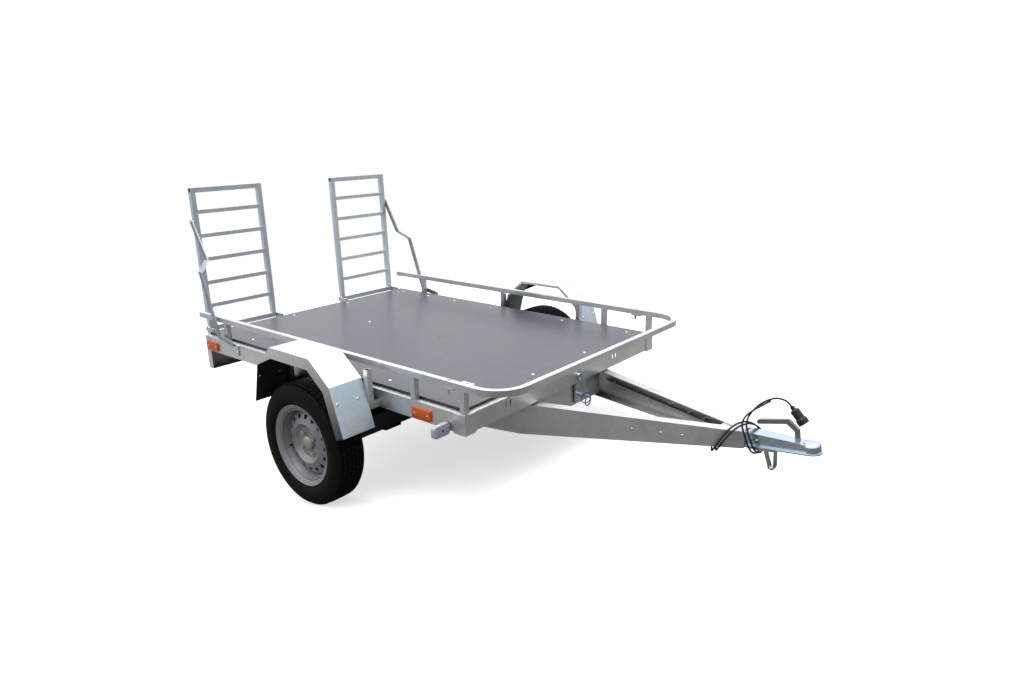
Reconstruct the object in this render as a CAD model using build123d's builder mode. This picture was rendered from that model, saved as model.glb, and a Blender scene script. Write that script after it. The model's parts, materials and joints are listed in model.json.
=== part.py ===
from build123d import *
import math
import os

# Flatbed tilt trailer with two loading ramps, in millimetres.
# It is drawn level, with X forward, Y to the left, Z up and the wheels' axis over X = 0,
# and is then pitched nose-down on to its parking foot.

# Wheels
wheel_z = 273.0
tyre_radius = 277.0
tyre_half_width = 78.0
tread_half = 52.0
tread_drop = 2.0
shoulder_half = 66.0
shoulder_drop = 12.0
bulge_drop = 50.0
tyre_thickness = 14.0
wheel_gap = 129.0
rim_radius = 185.0
rim_half_width = 64.0
rim_sheet = 4.0
flange_gap = 1.5
seat_half = 55.0
seat_radius = 168.0
well_radius = 150.0
bead_outer = 52.0
bead_inner = 42.0
bead_clearance = 0.3
vent_count = 16
vent_radius = 11.0
vent_circle = 123.0

# Wheel disc: (distance out from the wheel's middle, radius) of its bends, from the barrel to the hub
disc_edge = 8.0
disc_bends = ((22.0, 138.0), (33.0, 110.0), (41.0, 90.0), (23.0, 70.0), (20.0, 34.0))

# Hubs
stub_radius = 18.0
stub_reach = 20.0
running_clearance = 0.3
hub_inner_end = 52.0
hub_radius = 34.0
hub_flange_rear = 8.0
hub_flange_front = 15.6
hub_flange_radius = 62.0
cap_base_radius = 33.6
cap_shoulder = 32.0
cap_shoulder_radius = 31.0
cap_end = 38.0
cap_end_radius = 22.0
bore_end = 24.0

# Bed frame of folded channels
bed_front = 800.0
bed_rear = -1088.0
bed_half_width = 714.0
beam_bottom = 467.0
beam_height = 78.0
beam_flange = 40.0
beam_wall = 2.5
cross_member_places = (-700.0, -330.0, 180.0, 520.0)
cross_member_width = 35.0
cross_member_rise = 12.0
beam_slot_places = (-472.0, -444.0, 334.0, 362.0)
beam_slot_height = 26.0
beam_slot_width = 9.0
beam_slot_z = 518.0

# Deck
deck_thickness = 12.0
deck_inset = 28.0
deck_rear_inset = 4.0

# Guard rails and posts of square tube
rail_tube = 25.0
rail_wall = 2.0
rail_top = 666.0
rail_rear = -1121.0
rail_joint = 716.0
rail_front = 990.0
rail_bend = 130.0
joint_gap = 0.3
post_places = (-874.0, 517.0)

# Lashing eye inside the front rail
eye_place = 772.0
eye_length = 60.0
eye_width = 38.0
eye_plate = 4.0
eye_hole = 18.0

# Front corner plates
corner_leg = 58.0
corner_plate = 4.0
corner_drop = 5.0

# Mudguards of folded sheet: (x, z) of the folds, from the rear flap to the front
guard_folds = ((-269.0, 427.0), (-223.0, 606.0), (-113.0, 705.0), (161.0, 705.0), (282.0, 608.0), (349.0, 406.0))
guard_gap = 63.0
guard_width = 164.0
guard_sheet = 2.0
guard_lip = 50.0
guard_inner_lip = 14.0
stay_places = (-245.0, 308.0)
stay_top = 645.0
stay_bottom = 474.0

# Drawbar of two tapered channel arms
arm_top = 460.0
arm_nose = 1612.0
arm_nose_half = 30.2
arm_inset = 41.0
arm_rear = -365.0
arm_nose_depth = 68.0
arm_depth = 137.0
arm_taper_end = 745.0
arm_axle_depth = 107.0
arm_level_lead = 25.0
arm_flange = 45.0
arm_wall = 4.0
heel_length = 35.0
heel_drop = 9.0
centre_gap = 0.3
cut_margin = 1.0

# Drawbar cross member under the bed front
cross_front = 774.0
cross_depth = 110.0
cross_width = 40.0
cross_wall = 3.0

# Nose tube and ball coupling
nose_tube_length = 162.0
nose_tube_wall = 4.0
nose_clearance = 4.0
fit_gap = 0.3
coupling_setback = 8.0
coupling_base = 408.0
coupling_tilt = 6.0
coupling_half_width = 30.0
coupling_height = 53.0
coupling_sheet = 4.0
coupling_flange = 12.0
hood_break = 153.0
hood_break_height = 42.0
hood_end_height = 34.0
flange_break = 139.0
cavity_end_gap = 4.0
cavity_end_height = 20.0
ball_place = 232.0
ball_radius = 25.2
socket_wall = 9.0
socket_roof = 14.0
head_height = 40.0
dome = 16.0
bolt_radius = 6.0
bolt_offsets = ((14.0, 433.0), (36.0, 435.0))
bolt_reach = 8.0

# Coupling handle: (along, up) of its corners from the coupling's lower rear edge
handle_corners = (
    (36.0, 84.0),
    (36.0, 101.0),
    (152.0, 117.0),
    (190.0, 80.0),
    (192.0, 33.0),
    (177.0, 33.0),
    (175.0, 74.0),
    (146.0, 99.0),
)
handle_hole = (47.0, 93.5)
handle_hole_radius = 4.5
handle_half_width = 9.0
handle_round = 5.0
slot_place = 184.5
slot_length = 16.0
slot_floor = 28.0

# Parking foot: a bent strap loop under the coupling
foot_setback = 94.0
foot_lowest = 327.0
foot_strap = 5.0
foot_width = 30.0
foot_rear_setback = 56.0
foot_front_setback = 104.0
foot_plate_length = 58.0
foot_plate_sink = 2.0
foot_bend = 13.0

# Axle and its rubber suspension
axle_place = 100.0
axle_size = 84.0
axle_wall = 5.0
axle_inset = 24.0
trail_plate = 34.0
trail_bar = 36.0
trail_eye = 30.0
trail_end = 25.5
clamp_plate = 6.0
clamp_length = 100.0
clamp_overhang = 10.0
clamp_corner = 8.0

# Tilt pivot
pivot_x = -330.0
pivot_z = 420.0
pivot_radius = 12.0
pivot_outer_reach = 12.0
pivot_inner_reach = 6.0
lug_plate = 8.0
lug_inset = 78.0
lug_half_width = 30.0

# Ramps
ramp_hinge_x = -1155.0
ramp_hinge_z = 556.0
ramp_length = 754.0
ramp_inset = 59.0
ramp_width = 415.0
ramp_lean = 1.5
ramp_tube = 25.0
ramp_wall = 2.5
rung_size = 20.0
rung_wall = 1.5
rung_count = 5
hinge_pin_reach = 34.0
ramp_lug_gap = 1.0
ramp_lug_plate = 8.0
ramp_lug_height = 60.0
ramp_lug_rise = 10.0
ramp_lug_round = 16.0

# Ramp stays: (x, z) of the bends, from the bolt on the ramp to the bracket on the side beam
stay_bends = ((-1063.0, 943.0), (-1022.0, 891.0), (-912.0, 570.0), (-790.0, 550.0))
stay_bolt_height = 580.0
stay_bar = 24.0
stay_thickness = 8.0
stay_inner_gap = 7.0
stay_outer_gap = 12.0
stay_bolt_radius = 6.0
stay_bolt_reach = 6.0
bracket_plate = 6.0
bracket_half = 28.0
bracket_corner = 6.0

# Lamps
board_bottom = 364.0
board_depth = 40.0
board_sheet = 2.0
tail_lamp_inset = 154.0
tail_lamp_length = 190.0
tail_lamp_height = 76.0
tail_lamp_depth = 34.0
tail_lamp_corner = 10.0
reflector_length = 104.0
reflector_height = 46.0
reflector_depth = 9.0
reflector_corner = 6.0
reflector_places = (-1017.0, 568.0)
reflector_z = 497.0
marker_front = 724.0
marker_length = 84.0
marker_height = 48.0
marker_depth = 20.0
marker_corner = 14.0
marker_z = 480.0
marker_gap = 4.0
marker_arm_height = 24.0
marker_arm_plate = 4.0
marker_arm_overlap = 36.0

# Bed lock
lock_place = 60.0
lock_tab_width = 40.0
lock_tab_plate = 8.0
lock_tab_bottom = 364.0
lock_pin_radius = 8.0
lock_pin_z = 404.0
lock_pin_length = 70.0
lock_hole_clearance = 1.0
lock_ring_radius = 20.0
lock_ring_wire = 2.5
lock_ring_inset = 8.0
lock_ring_sink = 4.0
lock_stand_off = 5.0

# Lamp cable and plug: the bends' (distance ahead of the arms' nose, y, z) run from the left arm
# round the nose and up to the plug, and the twin's to where the two become one
cable_diameter = 7.5
rear_clip_setbacks = (58.0, 208.0)
nose_clip_setbacks = (410.0, 301.0, 221.0)
cable_z = 416.0
cable_off_web = 6.0
clip_length = 12.0
clip_wall = 2.5
cable_start_setback = 28.0
cable_end_setback = 182.0
cable_lead = 26.0
loop_bends = (
    (-134.0, 34.0, 408.0),
    (-124.0, 0.0, 380.0),
    (-106.0, -46.0, 362.0),
    (-84.0, -84.0, 384.0),
    (-60.0, -79.0, 430.0),
    (-35.0, -54.0, 471.0),
    (-6.0, -10.0, 490.0),
    (22.0, 36.0, 472.0),
    (47.0, 58.0, 430.0),
    (58.0, 38.0, 390.0),
    (54.0, -14.0, 380.0),
    (48.0, -58.0, 408.0),
    (28.0, -60.0, 456.0),
    (5.0, -46.0, 500.0),
    (9.0, -20.0, 535.0),
    (31.0, -4.0, 568.0),
    (63.0, 0.0, 595.0),
    (94.0, 0.0, 611.0),
    (122.0, 0.0, 611.0),
    (141.0, 0.0, 603.0),
    (152.0, 0.0, 591.0),
)
twin_bends = (
    (-180.0, 70.5, 409.8),
    (-163.0, 58.0, 403.0),
    (-150.0, 32.0, 394.0),
    (-140.0, 0.0, 372.0),
    (-122.0, -48.0, 356.0),
    (-100.0, -86.0, 378.0),
    (-75.0, -82.0, 428.0),
    (-50.0, -56.0, 474.0),
    (-20.0, -12.0, 495.0),
    (9.0, 36.0, 478.0),
    (34.0, 62.0, 432.0),
    (45.0, 40.0, 388.0),
    (41.0, -14.0, 374.0),
    (34.0, -62.0, 404.0),
    (14.0, -66.0, 456.0),
    (-9.0, -54.0, 500.0),
    (0.0, -34.0, 530.0),
    (22.0, -20.0, 552.0),
    (50.0, -10.0, 575.0),
    (78.0, -5.5, 597.0),
)
gland_radius = 8.0
gland_length = 12.0
plug_radius = 17.0
plug_length = 40.0
plug_shoulder = 6.0
skirt_radius = 21.0
skirt_length = 24.0
skirt_wall = 4.0
skirt_floor = 10.0

beam_top = beam_bottom + beam_height
beam_middle = beam_bottom + beam_height / 2
deck_top = beam_top + deck_thickness
rail_middle = rail_top - rail_tube / 2
rail_line = bed_half_width - rail_tube / 2
wheel_plane = bed_half_width + wheel_gap
guard_inner = bed_half_width + guard_gap
axle_half_length = bed_half_width - axle_inset
axle_z = arm_top - arm_axle_depth - axle_size / 2
ramp_outer = bed_half_width - ramp_inset
ramp_inner = ramp_outer - ramp_width
stay_inner = ramp_outer + stay_inner_gap
stay_outer = bed_half_width + stay_outer_gap
tail_lamp_place = bed_half_width - tail_lamp_inset
arm_slope = (bed_half_width - arm_inset - arm_nose_half) / (arm_nose - pivot_x)
arm_angle = math.atan(arm_slope)
coupling_rear = arm_nose + coupling_setback
bolt_places = tuple((coupling_rear + along, z) for along, z in bolt_offsets)
foot_place = coupling_rear + foot_setback
foot_rear_top = coupling_rear + foot_rear_setback
foot_front_top = coupling_rear + foot_front_setback
lug_place = bed_half_width - arm_inset - lug_inset
cable_start = cross_front + cable_start_setback
cable_end = arm_nose - cable_end_setback
clip_places = [cable_start + setback for setback in rear_clip_setbacks]
clip_places += [arm_nose - setback for setback in nose_clip_setbacks]
pieces = []


def finish(part, label):
    part.label = label
    pieces.append(part)


def mirrored(part, label):
    finish(mirror(part, about=Plane.XZ), label)


def across(x):
    """Plane facing forward at x: its sketch axes are Y and Z."""
    return Plane.YZ.offset(x)


def from_left(y):
    """Plane at y facing the right: its sketch axes are X and Z."""
    return Plane.XZ.offset(-y)


def arm_web(x):
    """Distance of an arm's outer face from the centre line at x."""
    return arm_nose_half + (arm_nose - x) * arm_slope


# Drawbar arms: channels with the web outside, deepest under the bed's front and shallow at the nose,
# with the rear end of the top sloped off to let the bed tilt
arm_plane = Plane(
    origin=(arm_nose, -arm_nose_half, 0),
    x_dir=(-math.cos(arm_angle), -math.sin(arm_angle), 0),
    z_dir=(-math.sin(arm_angle), math.cos(arm_angle), 0),
)
arm_length = (arm_nose - arm_rear) / math.cos(arm_angle)
taper_length = (arm_nose - arm_taper_end) / math.cos(arm_angle)
level_start = axle_place + axle_size / 2 + arm_level_lead
level_length = (arm_nose - level_start) / math.cos(arm_angle)
with BuildPart() as arm:
    with BuildSketch(arm_plane):
        with BuildLine():
            Polyline(
                (0, arm_top),
                (0, arm_top - arm_nose_depth),
                (taper_length, arm_top - arm_depth),
                (level_length, arm_top - arm_axle_depth),
                (arm_length, arm_top - arm_axle_depth),
                (arm_length, arm_top - heel_drop),
                (arm_length - heel_length, arm_top),
                close=True,
            )
        make_face()
    extrude(amount=arm_flange)
    with BuildSketch(arm_plane.offset(arm_wall)):
        with BuildLine():
            Polyline(
                (-cut_margin, arm_top - arm_wall),
                (-cut_margin, arm_top - arm_nose_depth + arm_wall),
                (taper_length, arm_top - arm_depth + arm_wall),
                (level_length, arm_top - arm_axle_depth + arm_wall),
                (arm_length + cut_margin, arm_top - arm_axle_depth + arm_wall),
                (arm_length + cut_margin, arm_top - heel_drop - arm_wall),
                (arm_length - heel_length, arm_top - arm_wall),
                close=True,
            )
        make_face()
    extrude(amount=arm_flange, mode=Mode.SUBTRACT)
    with BuildSketch(from_left(0)):
        with Locations((pivot_x, pivot_z)):
            Circle(pivot_radius + running_clearance)
    extrude(amount=arm_web(arm_rear), mode=Mode.SUBTRACT)
    split(bisect_by=Plane.XZ.offset(centre_gap / 2), keep=Keep.TOP)
finish(arm.part, "drawbar_arm_right")
mirrored(arm.part, "drawbar_arm_left")

# Cross member between the arms, with the hole for the lock pin
cross_half = arm_web(cross_front) - arm_flange / math.cos(arm_angle) - fit_gap
with BuildPart() as cross_member:
    with BuildSketch(Plane.XZ.offset(-cross_half)):
        with Locations((cross_front - cross_width / 2, arm_top - cross_depth / 2)):
            Rectangle(cross_width, cross_depth)
        with Locations((cross_front - cross_width / 2 - cross_wall, arm_top - cross_depth / 2)):
            Rectangle(cross_width, cross_depth - 2 * cross_wall, mode=Mode.SUBTRACT)
    extrude(amount=2 * cross_half)
    with BuildSketch(across(cross_front)):
        with Locations((lock_place, lock_pin_z)):
            Circle(lock_pin_radius + lock_hole_clearance)
    extrude(amount=-cross_wall, mode=Mode.SUBTRACT)
finish(cross_member.part, "drawbar_cross_member")

# Nose tube, held between the arms and inside the coupling
nose_half = coupling_half_width - coupling_sheet - fit_gap
nose_tube_front = (foot_rear_top + foot_front_top - foot_plate_length) / 2 - nose_clearance
nose_tube_rear = nose_tube_front - nose_tube_length
nose_tube_top = arm_top - arm_wall - fit_gap
nose_tube_bottom = arm_top - arm_nose_depth + arm_wall + fit_gap
with BuildPart() as nose_tube:
    with BuildSketch(across(nose_tube_rear)):
        with Locations((0, (nose_tube_top + nose_tube_bottom) / 2)):
            Rectangle(2 * nose_half, nose_tube_top - nose_tube_bottom)
            Rectangle(
                2 * (nose_half - nose_tube_wall),
                nose_tube_top - nose_tube_bottom - 2 * nose_tube_wall,
                mode=Mode.SUBTRACT,
            )
    extrude(amount=nose_tube_front - nose_tube_rear)
    with BuildSketch(from_left(coupling_half_width)):
        with Locations(*bolt_places):
            Circle(bolt_radius)
    extrude(amount=2 * coupling_half_width, mode=Mode.SUBTRACT)
finish(nose_tube.part, "nose_tube")

# Coupling: a pressed hood, flanged along its lower edge, with a domed head over the ball socket
tilt = math.radians(coupling_tilt)
coupling_plane = Plane(
    origin=(coupling_rear, 0, coupling_base),
    x_dir=(math.cos(tilt), 0, math.sin(tilt)),
    z_dir=(-math.sin(tilt), 0, math.cos(tilt)),
)
head_radius = ball_radius + socket_wall
cavity_end = ball_place - head_radius - cavity_end_gap
socket_depth = head_height - socket_roof
hood_side = Plane(origin=coupling_plane.origin, x_dir=coupling_plane.x_dir, z_dir=(0, -1, 0))
with BuildPart() as coupling:
    with BuildSketch(hood_side):
        with BuildLine():
            Polyline(
                (0, 0),
                (0, coupling_height),
                (hood_break, hood_break_height),
                (ball_place, hood_end_height),
                (ball_place, 0),
                close=True,
            )
        make_face()
    extrude(amount=coupling_half_width, both=True)
    with BuildSketch(hood_side):
        with BuildLine():
            head_edge = ball_place + head_radius
            side = Polyline((ball_place, 0), (head_edge, 0), (head_edge, head_height - dome))
            crown = RadiusArc(side @ 1, (head_edge - dome, head_height), -dome)
            Polyline(crown @ 1, (ball_place, head_height), (ball_place, 0))
        make_face()
    revolve(axis=Axis(hood_side.from_local_coords((ball_place, 0, 0)), coupling_plane.z_dir))
    with BuildSketch(coupling_plane):
        with BuildLine():
            outer = coupling_half_width + coupling_flange
            tip = head_radius + coupling_flange / 2
            Polyline((ball_place, -tip), (flange_break, -outer), (0, -outer), (0, outer))
            Polyline((0, outer), (flange_break, outer), (ball_place, tip))
            ThreePointArc((ball_place, tip), (ball_place + tip, 0), (ball_place, -tip))
        make_face()
    extrude(amount=coupling_sheet)
    with BuildSketch(hood_side):
        with BuildLine():
            Polyline(
                (-cut_margin, -cut_margin),
                (-cut_margin, coupling_height - coupling_sheet),
                (flange_break, hood_break_height - coupling_sheet),
                (cavity_end, cavity_end_height),
                (cavity_end, -cut_margin),
                close=True,
            )
        make_face()
    extrude(amount=coupling_half_width - coupling_sheet, both=True, mode=Mode.SUBTRACT)
    with BuildSketch(coupling_plane):
        with Locations((ball_place, 0)):
            Circle(ball_radius)
    extrude(amount=socket_depth, mode=Mode.SUBTRACT)
    with BuildSketch(from_left(coupling_half_width + coupling_flange)):
        with Locations(*bolt_places):
            Circle(bolt_radius)
    extrude(amount=2 * (coupling_half_width + coupling_flange), mode=Mode.SUBTRACT)
    with BuildSketch(coupling_plane.offset(slot_floor)):
        with Locations((slot_place, 0)):
            Rectangle(slot_length, 2 * (handle_half_width + fit_gap))
    extrude(amount=coupling_height, mode=Mode.SUBTRACT)
finish(coupling.part, "coupling_body")

# Coupling handle: a bent bar over the hood, pivoted on the sides of the head
with BuildPart() as handle:
    with BuildSketch(hood_side):
        with BuildLine():
            Polyline(*handle_corners, close=True)
        make_face()
        with Locations(handle_hole):
            Circle(handle_hole_radius, mode=Mode.SUBTRACT)
    extrude(amount=handle_half_width, both=True)
    fillet(handle.edges().filter_by(GeomType.LINE).filter_by(Axis.Y), handle_round)
finish(handle.part, "coupling_handle")

# Two bolts that hold the coupling to the nose tube
with BuildPart() as coupling_bolts:
    with BuildSketch(from_left(coupling_half_width + bolt_reach)):
        with Locations(*bolt_places):
            Circle(bolt_radius - fit_gap)
    extrude(amount=2 * (coupling_half_width + bolt_reach))
finish(coupling_bolts.part, "coupling_bolts")

# Parking foot: a strap bent into a narrow loop, with its ends on the coupling's flange
foot_centre_z = foot_lowest + foot_bend
foot_plane = coupling_plane.offset(-fit_gap)
foot_top = coupling_base + (foot_place - coupling_rear) * math.tan(tilt) - fit_gap - foot_strap
with BuildPart() as foot:
    with BuildSketch(from_left(foot_width / 2)):
        with BuildLine():
            left = Line((foot_rear_top, foot_top), (foot_place - foot_bend, foot_centre_z))
            bottom = ThreePointArc(left @ 1, (foot_place, foot_lowest), (foot_place + foot_bend, foot_centre_z))
            right = Line(bottom @ 1, (foot_front_top, foot_top))
            offset(amount=foot_strap, side=Side.LEFT)
        make_face()
    extrude(amount=foot_width)
    with BuildSketch(foot_plane):
        with Locations(((foot_rear_top + foot_front_top) / 2 - coupling_rear, 0)):
            Rectangle(foot_plate_length, 2 * (coupling_half_width + coupling_flange))
    extrude(amount=-foot_strap - foot_plate_sink)
finish(foot.part, "parking_foot")

# Axle tube under the arms, with clamps below it
with BuildPart() as axle_tube:
    with BuildSketch(from_left(axle_half_length)):
        with Locations((axle_place, axle_z)):
            Rectangle(axle_size, axle_size)
            Rectangle(axle_size - 2 * axle_wall, axle_size - 2 * axle_wall, mode=Mode.SUBTRACT)
    extrude(amount=2 * axle_half_length)
finish(axle_tube.part, "axle_tube")

clamp_y = arm_web(axle_place) - arm_flange / 2
with BuildPart() as clamps:
    with BuildSketch(Plane.XY.offset(axle_z - axle_size / 2)):
        with Locations((axle_place, clamp_y), (axle_place, -clamp_y)):
            RectangleRounded(axle_size + 2 * clamp_overhang, clamp_length, clamp_corner)
    extrude(amount=-clamp_plate)
finish(clamps.part, "axle_clamps")

# Trailing arms of the rubber suspension, each with its stub axle
with BuildPart() as trailing_arm:
    with BuildSketch(Plane.XZ.offset(axle_half_length)):
        with BuildLine():
            Line((axle_place, axle_z), (0, wheel_z))
        trace(line_width=trail_bar)
        with Locations((axle_place, axle_z)):
            Circle(trail_eye)
        with Locations((0, wheel_z)):
            Circle(trail_end)
    extrude(amount=trail_plate)
    with BuildSketch(Plane.XZ.offset(axle_half_length + trail_plate)):
        with Locations((0, wheel_z)):
            Circle(stub_radius)
    extrude(amount=wheel_plane + stub_reach - axle_half_length - trail_plate)
    mirror(about=Plane.XZ)
finish(trailing_arm.part, "suspension_arms")

# Tilt pivot pins through the arms
with BuildPart() as pivot_pins:
    with BuildSketch(from_left(arm_web(pivot_x) + pivot_outer_reach)):
        with Locations((pivot_x, pivot_z)):
            Circle(pivot_radius)
    extrude(amount=arm_web(pivot_x) + pivot_outer_reach - lug_place + pivot_inner_reach)
    mirror(about=Plane.XZ)
finish(pivot_pins.part, "pivot_pins")

# Tyres: road tyres of low section, open inside
tyre_plane = Plane(origin=(0, -wheel_plane, wheel_z), x_dir=(0, -1, 0), z_dir=(-1, 0, 0))
wheel_axis = Axis((0, 0, wheel_z), (0, 1, 0))


def barrel(x):
    """Outer radius of the rim's barrel at x from the wheel's middle."""
    return well_radius + (seat_radius - well_radius) * x / seat_half


with BuildPart() as tyre:
    with BuildSketch(tyre_plane):
        with BuildLine():
            Polyline(
                (0, tyre_radius),
                (tread_half, tyre_radius - tread_drop),
                (shoulder_half, tyre_radius - shoulder_drop),
                (tyre_half_width, tyre_radius - bulge_drop),
                (rim_half_width - flange_gap, rim_radius + flange_gap),
                (bead_outer, barrel(bead_outer) + bead_clearance),
                (bead_inner, barrel(bead_inner) + bead_clearance),
                (shoulder_half, tyre_radius - bulge_drop),
                (tread_half, tyre_radius - tread_drop - tyre_thickness),
                (0, tyre_radius - tyre_thickness),
                close=True,
            )
        make_face()
        mirror(about=Plane.YZ)
    revolve(axis=wheel_axis)
finish(tyre.part, "tyre_right")
mirrored(tyre.part, "tyre_left")

# Steel rims: a flanged barrel and a dished disc with a ring of round vents
with BuildPart() as rim:
    with BuildSketch(tyre_plane):
        with BuildLine():
            Polyline(
                (-rim_half_width, rim_radius),
                (-seat_half, seat_radius),
                (0, well_radius),
                (seat_half, seat_radius),
                (rim_half_width, rim_radius),
            )
            offset(amount=rim_sheet, side=Side.RIGHT)
        make_face()
    revolve(axis=wheel_axis)
    with BuildSketch(tyre_plane):
        with BuildLine():
            Polyline((disc_edge, barrel(disc_edge) - rim_sheet / 2), *disc_bends)
            offset(amount=rim_sheet, side=Side.RIGHT)
        make_face()
    revolve(axis=wheel_axis)
    with BuildSketch(Plane(origin=(0, -wheel_plane, wheel_z), x_dir=(1, 0, 0), z_dir=(0, -1, 0))):
        with PolarLocations(vent_circle, vent_count):
            Circle(vent_radius)
    extrude(amount=rim_half_width, mode=Mode.SUBTRACT)
finish(rim.part, "rim_right")
mirrored(rim.part, "rim_left")

# Hubs: a bearing barrel on the stub axle, a flange behind the disc and a pressed grease cap
with BuildPart() as hub:
    with BuildSketch(tyre_plane):
        with BuildLine():
            bore = stub_radius + running_clearance
            Polyline(
                (-hub_inner_end, bore),
                (-hub_inner_end, hub_radius),
                (hub_flange_rear, hub_radius),
                (hub_flange_rear, hub_flange_radius),
                (hub_flange_front, hub_flange_radius),
                (hub_flange_front, cap_base_radius),
                (cap_shoulder, cap_shoulder_radius),
                (cap_end, cap_end_radius),
                (cap_end, 0),
                (bore_end, 0),
                (bore_end, bore),
                close=True,
            )
        make_face()
    revolve(axis=wheel_axis)
finish(hub.part, "hub_right")
mirrored(hub.part, "hub_left")

# Side beams: channels with the web outside
with BuildPart() as side_beam:
    with BuildSketch(across(bed_rear)):
        with Locations((-bed_half_width + beam_flange / 2, beam_middle)):
            Rectangle(beam_flange, beam_height)
        with Locations((-bed_half_width + beam_flange / 2 + beam_wall, beam_middle)):
            Rectangle(beam_flange, beam_height - 2 * beam_wall, mode=Mode.SUBTRACT)
    extrude(amount=bed_front - bed_rear)
finish(side_beam.part, "side_beam_right")
mirrored(side_beam.part, "side_beam_left")

# Front and rear beams, butted between the side beams' flanges; the front one has pairs of slots
end_half = bed_half_width - beam_flange
for label, face, inward, slots in (("front_beam", bed_front, -1, beam_slot_places), ("rear_beam", bed_rear, 1, ())):
    with BuildPart() as end_beam:
        with BuildSketch(from_left(end_half)):
            with Locations((face + inward * beam_flange / 2, beam_middle)):
                Rectangle(beam_flange, beam_height)
            with Locations((face + inward * (beam_flange / 2 + beam_wall), beam_middle)):
                Rectangle(beam_flange, beam_height - 2 * beam_wall, mode=Mode.SUBTRACT)
        extrude(amount=2 * end_half)
        if slots:
            with BuildSketch(across(face)):
                with Locations(*[(place, beam_slot_z) for place in slots]):
                    SlotOverall(beam_slot_height, beam_slot_width, rotation=90)
            extrude(amount=inward * beam_wall, mode=Mode.SUBTRACT)
    finish(end_beam.part, label)

# Cross members between the side beams' webs, just under their upper flanges
inner_web = bed_half_width - beam_wall - fit_gap
member_top = beam_top - beam_wall
member_height = beam_height - 2 * beam_wall - cross_member_rise
with BuildPart() as cross_members:
    with BuildSketch(from_left(inner_web)):
        for place in cross_member_places:
            with Locations((place, member_top - member_height / 2)):
                Rectangle(cross_member_width, member_height)
            with Locations((place + beam_wall, member_top - member_height / 2)):
                Rectangle(cross_member_width, member_height - 2 * beam_wall, mode=Mode.SUBTRACT)
    extrude(amount=2 * inner_web)
finish(cross_members.part, "bed_cross_members")

# Deck of film-faced plywood
with BuildPart() as deck:
    with BuildSketch(Plane.XY.offset(beam_top)):
        deck_length = bed_front - deck_inset - bed_rear - deck_rear_inset
        with Locations(((bed_front - deck_inset + bed_rear + deck_rear_inset) / 2, 0)):
            Rectangle(deck_length, 2 * (bed_half_width - deck_inset))
    extrude(amount=deck_thickness)
finish(deck.part, "deck")

# Side rails of square tube
with BuildPart() as side_rail:
    with BuildSketch(across(rail_rear)):
        with Locations((-rail_line, rail_middle)):
            Rectangle(rail_tube, rail_tube)
            Rectangle(rail_tube - 2 * rail_wall, rail_tube - 2 * rail_wall, mode=Mode.SUBTRACT)
    extrude(amount=rail_joint - rail_rear)
finish(side_rail.part, "side_rail_right")
mirrored(side_rail.part, "side_rail_left")

# Front rail: one bent tube that overhangs the front beam
front_line = rail_front - rail_tube / 2
with BuildPart() as front_rail:
    with BuildLine() as rail_path:
        FilletPolyline(
            (rail_joint + joint_gap, -rail_line, rail_middle),
            (front_line, -rail_line, rail_middle),
            (front_line, rail_line, rail_middle),
            (rail_joint + joint_gap, rail_line, rail_middle),
            radius=rail_bend,
        )
    with BuildSketch(across(rail_joint + joint_gap)):
        with Locations((-rail_line, rail_middle)):
            Rectangle(rail_tube, rail_tube)
            Rectangle(rail_tube - 2 * rail_wall, rail_tube - 2 * rail_wall, mode=Mode.SUBTRACT)
    sweep(path=rail_path.line)
finish(front_rail.part, "front_rail")

# Lashing eye: a plate with a round hole, on the inside of the front rail's right end
eye_line = bed_half_width - rail_tube - eye_width / 2
with BuildPart() as eye:
    with BuildSketch(Plane.XY.offset(rail_middle)):
        with Locations((eye_place, -eye_line)):
            Rectangle(eye_length, eye_width)
            Circle(eye_hole / 2, mode=Mode.SUBTRACT)
    extrude(amount=eye_plate / 2, both=True)
finish(eye.part, "rail_eye")

# Rail posts on the side beams, with one at each front corner
post_height = rail_top - rail_tube - beam_top
corner_post = bed_front - rail_tube / 2
with BuildPart() as posts:
    with BuildSketch(Plane.XY.offset(beam_top)):
        with Locations(*[(place, -rail_line) for place in (*post_places, corner_post)]):
            Rectangle(rail_tube, rail_tube)
            Rectangle(rail_tube - 2 * rail_wall, rail_tube - 2 * rail_wall, mode=Mode.SUBTRACT)
    extrude(amount=post_height)
    mirror(about=Plane.XZ)
finish(posts.part, "rail_posts")

# Angle plates round the front corners of the frame
with BuildPart() as corner_blocks:
    with BuildSketch(Plane.XY.offset(beam_bottom - corner_drop)):
        with BuildLine():
            Polyline(
                (bed_front - corner_leg, -bed_half_width),
                (bed_front - corner_leg, -bed_half_width - corner_plate),
                (bed_front + corner_plate, -bed_half_width - corner_plate),
                (bed_front + corner_plate, -bed_half_width + corner_leg),
                (bed_front, -bed_half_width + corner_leg),
                (bed_front, -bed_half_width),
                close=True,
            )
        make_face()
    extrude(amount=beam_height + corner_drop)
    mirror(about=Plane.XZ)
finish(corner_blocks.part, "corner_plates")

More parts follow.
